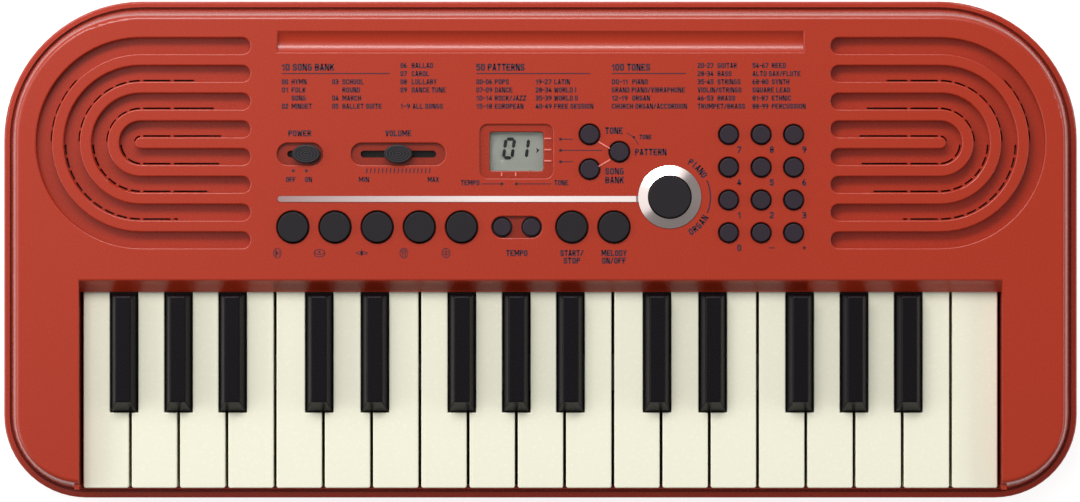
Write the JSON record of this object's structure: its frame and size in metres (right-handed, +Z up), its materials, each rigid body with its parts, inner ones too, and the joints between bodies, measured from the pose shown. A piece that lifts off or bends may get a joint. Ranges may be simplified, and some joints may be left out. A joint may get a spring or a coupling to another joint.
{
  "type": "electronic keyboard",
  "caption": "Compact electronic keyboard with mini keys on hinges, round push buttons, slide switches, a small display and grooved speaker grilles in a rounded case.",
  "frame": {"origin": "centre of the footprint on the surface that the feet stand on", "axes": "+X towards the high keys at the player's right, +Y away from the player, +Z up"},
  "size_m": [0.446, 0.2064, 0.051],
  "materials": {
    "red_plastic": "satin moulded red",
    "white_key_plastic": "gloss ivory white",
    "black_key_plastic": "satin black",
    "button_plastic": "satin dark grey",
    "dark_plastic": "satin black",
    "white_trim": "gloss white",
    "clear_window": "clear",
    "display_grey": "matte grey-green",
    "chassis_plastic": "matte moulded",
    "circuit_board": "satin green lacquer",
    "contact_rubber": "matte silicone",
    "foot_rubber": "matte",
    "steel": "zinc plated",
    "speaker_metal": "black lacquer"
  },
  "bodies": {
    "case": {"upper_case": "red_plastic", "lower_case": "red_plastic", "rubber_feet": "foot_rubber", "screws": "steel", "battery_contacts": "steel", "key_chassis": "chassis_plastic", "key_hinge_rod": "steel", "key_contact_board": "circuit_board", "key_contact_rubber": "contact_rubber", "main_board": "circuit_board", "button_contact_rubber": "contact_rubber", "display_module": "display_grey", "display_window": "clear_window", "panel_trim": "white_trim", "speakers": "speaker_metal", "power_jack": "dark_plastic", "phones_jack": "dark_plastic"},
    "battery_cover": {"battery_cover": "red_plastic"},
    "power_knob": {"power_knob": "dark_plastic"},
    "volume_knob": {"volume_knob": "dark_plastic"},
    "large_button": {"large_button": "button_plastic"},
    "drum_pads": {"drum_pads": "button_plastic"},
    "number_buttons": {"number_buttons": "button_plastic"},
    "mode_buttons": {"mode_buttons": "button_plastic"},
    "start_stop_button": {"start_stop_button": "button_plastic"},
    "melody_button": {"melody_button": "button_plastic"},
    "tempo_down_button": {"tempo_down_button": "button_plastic"},
    "tempo_up_button": {"tempo_up_button": "button_plastic"},
    "white_key_f3": {"white_key_f3": "white_key_plastic"},
    "black_key_f3_sharp": {"black_key_f3_sharp": "black_key_plastic"},
    "white_key_g3": {"white_key_g3": "white_key_plastic"},
    "black_key_g3_sharp": {"black_key_g3_sharp": "black_key_plastic"},
    "white_key_a3": {"white_key_a3": "white_key_plastic"},
    "black_key_a3_sharp": {"black_key_a3_sharp": "black_key_plastic"},
    "white_key_b3": {"white_key_b3": "white_key_plastic"},
    "white_key_c4": {"white_key_c4": "white_key_plastic"},
    "black_key_c4_sharp": {"black_key_c4_sharp": "black_key_plastic"},
    "white_key_d4": {"white_key_d4": "white_key_plastic"},
    "black_key_d4_sharp": {"black_key_d4_sharp": "black_key_plastic"},
    "white_key_e4": {"white_key_e4": "white_key_plastic"},
    "white_key_f4": {"white_key_f4": "white_key_plastic"},
    "black_key_f4_sharp": {"black_key_f4_sharp": "black_key_plastic"},
    "white_key_g4": {"white_key_g4": "white_key_plastic"},
    "black_key_g4_sharp": {"black_key_g4_sharp": "black_key_plastic"},
    "white_key_a4": {"white_key_a4": "white_key_plastic"},
    "black_key_a4_sharp": {"black_key_a4_sharp": "black_key_plastic"},
    "white_key_b4": {"white_key_b4": "white_key_plastic"},
    "white_key_c5": {"white_key_c5": "white_key_plastic"},
    "black_key_c5_sharp": {"black_key_c5_sharp": "black_key_plastic"},
    "white_key_d5": {"white_key_d5": "white_key_plastic"},
    "black_key_d5_sharp": {"black_key_d5_sharp": "black_key_plastic"},
    "white_key_e5": {"white_key_e5": "white_key_plastic"},
    "white_key_f5": {"white_key_f5": "white_key_plastic"},
    "black_key_f5_sharp": {"black_key_f5_sharp": "black_key_plastic"},
    "white_key_g5": {"white_key_g5": "white_key_plastic"},
    "black_key_g5_sharp": {"black_key_g5_sharp": "black_key_plastic"},
    "white_key_a5": {"white_key_a5": "white_key_plastic"},
    "black_key_a5_sharp": {"black_key_a5_sharp": "black_key_plastic"},
    "white_key_b5": {"white_key_b5": "white_key_plastic"},
    "white_key_c6": {"white_key_c6": "white_key_plastic"}
  },
  "joints": [
    {"name": "battery_cover_slide", "type": "slide", "parent": "case", "child": "battery_cover", "axis": [0, 1, 0], "range_m": [0, 0.014]},
    {"name": "power_switch_slide", "type": "slide", "parent": "case", "child": "power_knob", "axis": [-1, 0, 0], "range_m": [0, 0.0054]},
    {"name": "volume_slide", "type": "slide", "parent": "case", "child": "volume_knob", "axis": [1, 0, 0], "range_m": [-0.013, 0.013]},
    {"name": "large_button_press", "type": "slide", "parent": "case", "child": "large_button", "axis": [0, 0, -1], "range_m": [0, 0.001], "stiffness_N_per_m": 400, "springref_m": -0.001},
    {"name": "drum_pads_press", "type": "slide", "parent": "case", "child": "drum_pads", "axis": [0, 0, -1], "range_m": [0, 0.001], "stiffness_N_per_m": 400, "springref_m": -0.001},
    {"name": "number_buttons_press", "type": "slide", "parent": "case", "child": "number_buttons", "axis": [0, 0, -1], "range_m": [0, 0.001], "stiffness_N_per_m": 400, "springref_m": -0.001},
    {"name": "mode_buttons_press", "type": "slide", "parent": "case", "child": "mode_buttons", "axis": [0, 0, -1], "range_m": [0, 0.001], "stiffness_N_per_m": 400, "springref_m": -0.001},
    {"name": "start_stop_button_press", "type": "slide", "parent": "case", "child": "start_stop_button", "axis": [0, 0, -1], "range_m": [0, 0.001], "stiffness_N_per_m": 400, "springref_m": -0.001},
    {"name": "melody_button_press", "type": "slide", "parent": "case", "child": "melody_button", "axis": [0, 0, -1], "range_m": [0, 0.001], "stiffness_N_per_m": 400, "springref_m": -0.001},
    {"name": "tempo_down_button_press", "type": "slide", "parent": "case", "child": "tempo_down_button", "axis": [0, 0, -1], "range_m": [0, 0.001], "stiffness_N_per_m": 400, "springref_m": -0.001},
    {"name": "tempo_up_button_press", "type": "slide", "parent": "case", "child": "tempo_up_button", "axis": [0, 0, -1], "range_m": [0, 0.001], "stiffness_N_per_m": 400, "springref_m": -0.001},
    {"name": "white_key_f3_hinge", "type": "hinge", "parent": "case", "child": "white_key_f3", "pos_m": [0, -0.003, 0.034], "axis": [1, 0, 0], "range_deg": [0, 2.6], "stiffness_Nm_per_rad": 0.66, "springref_deg": -1.72},
    {"name": "black_key_f3_sharp_hinge", "type": "hinge", "parent": "case", "child": "black_key_f3_sharp", "pos_m": [0, -0.003, 0.034], "axis": [1, 0, 0], "range_deg": [0, 2.6], "stiffness_Nm_per_rad": 0.5, "springref_deg": -1.72},
    {"name": "white_key_g3_hinge", "type": "hinge", "parent": "case", "child": "white_key_g3", "pos_m": [0, -0.003, 0.034], "axis": [1, 0, 0], "range_deg": [0, 2.6], "stiffness_Nm_per_rad": 0.66, "springref_deg": -1.72},
    {"name": "black_key_g3_sharp_hinge", "type": "hinge", "parent": "case", "child": "black_key_g3_sharp", "pos_m": [0, -0.003, 0.034], "axis": [1, 0, 0], "range_deg": [0, 2.6], "stiffness_Nm_per_rad": 0.5, "springref_deg": -1.72},
    {"name": "white_key_a3_hinge", "type": "hinge", "parent": "case", "child": "white_key_a3", "pos_m": [0, -0.003, 0.034], "axis": [1, 0, 0], "range_deg": [0, 2.6], "stiffness_Nm_per_rad": 0.66, "springref_deg": -1.72},
    {"name": "black_key_a3_sharp_hinge", "type": "hinge", "parent": "case", "child": "black_key_a3_sharp", "pos_m": [0, -0.003, 0.034], "axis": [1, 0, 0], "range_deg": [0, 2.6], "stiffness_Nm_per_rad": 0.5, "springref_deg": -1.72},
    {"name": "white_key_b3_hinge", "type": "hinge", "parent": "case", "child": "white_key_b3", "pos_m": [0, -0.003, 0.034], "axis": [1, 0, 0], "range_deg": [0, 2.6], "stiffness_Nm_per_rad": 0.66, "springref_deg": -1.72},
    {"name": "white_key_c4_hinge", "type": "hinge", "parent": "case", "child": "white_key_c4", "pos_m": [0, -0.003, 0.034], "axis": [1, 0, 0], "range_deg": [0, 2.6], "stiffness_Nm_per_rad": 0.66, "springref_deg": -1.72},
    {"name": "black_key_c4_sharp_hinge", "type": "hinge", "parent": "case", "child": "black_key_c4_sharp", "pos_m": [0, -0.003, 0.034], "axis": [1, 0, 0], "range_deg": [0, 2.6], "stiffness_Nm_per_rad": 0.5, "springref_deg": -1.72},
    {"name": "white_key_d4_hinge", "type": "hinge", "parent": "case", "child": "white_key_d4", "pos_m": [0, -0.003, 0.034], "axis": [1, 0, 0], "range_deg": [0, 2.6], "stiffness_Nm_per_rad": 0.66, "springref_deg": -1.72},
    {"name": "black_key_d4_sharp_hinge", "type": "hinge", "parent": "case", "child": "black_key_d4_sharp", "pos_m": [0, -0.003, 0.034], "axis": [1, 0, 0], "range_deg": [0, 2.6], "stiffness_Nm_per_rad": 0.5, "springref_deg": -1.72},
    {"name": "white_key_e4_hinge", "type": "hinge", "parent": "case", "child": "white_key_e4", "pos_m": [0, -0.003, 0.034], "axis": [1, 0, 0], "range_deg": [0, 2.6], "stiffness_Nm_per_rad": 0.66, "springref_deg": -1.72},
    {"name": "white_key_f4_hinge", "type": "hinge", "parent": "case", "child": "white_key_f4", "pos_m": [0, -0.003, 0.034], "axis": [1, 0, 0], "range_deg": [0, 2.6], "stiffness_Nm_per_rad": 0.66, "springref_deg": -1.72},
    {"name": "black_key_f4_sharp_hinge", "type": "hinge", "parent": "case", "child": "black_key_f4_sharp", "pos_m": [0, -0.003, 0.034], "axis": [1, 0, 0], "range_deg": [0, 2.6], "stiffness_Nm_per_rad": 0.5, "springref_deg": -1.72},
    {"name": "white_key_g4_hinge", "type": "hinge", "parent": "case", "child": "white_key_g4", "pos_m": [0, -0.003, 0.034], "axis": [1, 0, 0], "range_deg": [0, 2.6], "stiffness_Nm_per_rad": 0.66, "springref_deg": -1.72},
    {"name": "black_key_g4_sharp_hinge", "type": "hinge", "parent": "case", "child": "black_key_g4_sharp", "pos_m": [0, -0.003, 0.034], "axis": [1, 0, 0], "range_deg": [0, 2.6], "stiffness_Nm_per_rad": 0.5, "springref_deg": -1.72},
    {"name": "white_key_a4_hinge", "type": "hinge", "parent": "case", "child": "white_key_a4", "pos_m": [0, -0.003, 0.034], "axis": [1, 0, 0], "range_deg": [0, 2.6], "stiffness_Nm_per_rad": 0.66, "springref_deg": -1.72},
    {"name": "black_key_a4_sharp_hinge", "type": "hinge", "parent": "case", "child": "black_key_a4_sharp", "pos_m": [0, -0.003, 0.034], "axis": [1, 0, 0], "range_deg": [0, 2.6], "stiffness_Nm_per_rad": 0.5, "springref_deg": -1.72},
    {"name": "white_key_b4_hinge", "type": "hinge", "parent": "case", "child": "white_key_b4", "pos_m": [0, -0.003, 0.034], "axis": [1, 0, 0], "range_deg": [0, 2.6], "stiffness_Nm_per_rad": 0.66, "springref_deg": -1.72},
    {"name": "white_key_c5_hinge", "type": "hinge", "parent": "case", "child": "white_key_c5", "pos_m": [0, -0.003, 0.034], "axis": [1, 0, 0], "range_deg": [0, 2.6], "stiffness_Nm_per_rad": 0.66, "springref_deg": -1.72},
    {"name": "black_key_c5_sharp_hinge", "type": "hinge", "parent": "case", "child": "black_key_c5_sharp", "pos_m": [0, -0.003, 0.034], "axis": [1, 0, 0], "range_deg": [0, 2.6], "stiffness_Nm_per_rad": 0.5, "springref_deg": -1.72},
    {"name": "white_key_d5_hinge", "type": "hinge", "parent": "case", "child": "white_key_d5", "pos_m": [0, -0.003, 0.034], "axis": [1, 0, 0], "range_deg": [0, 2.6], "stiffness_Nm_per_rad": 0.66, "springref_deg": -1.72},
    {"name": "black_key_d5_sharp_hinge", "type": "hinge", "parent": "case", "child": "black_key_d5_sharp", "pos_m": [0, -0.003, 0.034], "axis": [1, 0, 0], "range_deg": [0, 2.6], "stiffness_Nm_per_rad": 0.5, "springref_deg": -1.72},
    {"name": "white_key_e5_hinge", "type": "hinge", "parent": "case", "child": "white_key_e5", "pos_m": [0, -0.003, 0.034], "axis": [1, 0, 0], "range_deg": [0, 2.6], "stiffness_Nm_per_rad": 0.66, "springref_deg": -1.72},
    {"name": "white_key_f5_hinge", "type": "hinge", "parent": "case", "child": "white_key_f5", "pos_m": [0, -0.003, 0.034], "axis": [1, 0, 0], "range_deg": [0, 2.6], "stiffness_Nm_per_rad": 0.66, "springref_deg": -1.72},
    {"name": "black_key_f5_sharp_hinge", "type": "hinge", "parent": "case", "child": "black_key_f5_sharp", "pos_m": [0, -0.003, 0.034], "axis": [1, 0, 0], "range_deg": [0, 2.6], "stiffness_Nm_per_rad": 0.5, "springref_deg": -1.72},
    {"name": "white_key_g5_hinge", "type": "hinge", "parent": "case", "child": "white_key_g5", "pos_m": [0, -0.003, 0.034], "axis": [1, 0, 0], "range_deg": [0, 2.6], "stiffness_Nm_per_rad": 0.66, "springref_deg": -1.72},
    {"name": "black_key_g5_sharp_hinge", "type": "hinge", "parent": "case", "child": "black_key_g5_sharp", "pos_m": [0, -0.003, 0.034], "axis": [1, 0, 0], "range_deg": [0, 2.6], "stiffness_Nm_per_rad": 0.5, "springref_deg": -1.72},
    {"name": "white_key_a5_hinge", "type": "hinge", "parent": "case", "child": "white_key_a5", "pos_m": [0, -0.003, 0.034], "axis": [1, 0, 0], "range_deg": [0, 2.6], "stiffness_Nm_per_rad": 0.66, "springref_deg": -1.72},
    {"name": "black_key_a5_sharp_hinge", "type": "hinge", "parent": "case", "child": "black_key_a5_sharp", "pos_m": [0, -0.003, 0.034], "axis": [1, 0, 0], "range_deg": [0, 2.6], "stiffness_Nm_per_rad": 0.5, "springref_deg": -1.72},
    {"name": "white_key_b5_hinge", "type": "hinge", "parent": "case", "child": "white_key_b5", "pos_m": [0, -0.003, 0.034], "axis": [1, 0, 0], "range_deg": [0, 2.6], "stiffness_Nm_per_rad": 0.66, "springref_deg": -1.72},
    {"name": "white_key_c6_hinge", "type": "hinge", "parent": "case", "child": "white_key_c6", "pos_m": [0, -0.003, 0.034], "axis": [1, 0, 0], "range_deg": [0, 2.6], "stiffness_Nm_per_rad": 0.66, "springref_deg": -1.72}
  ]
}
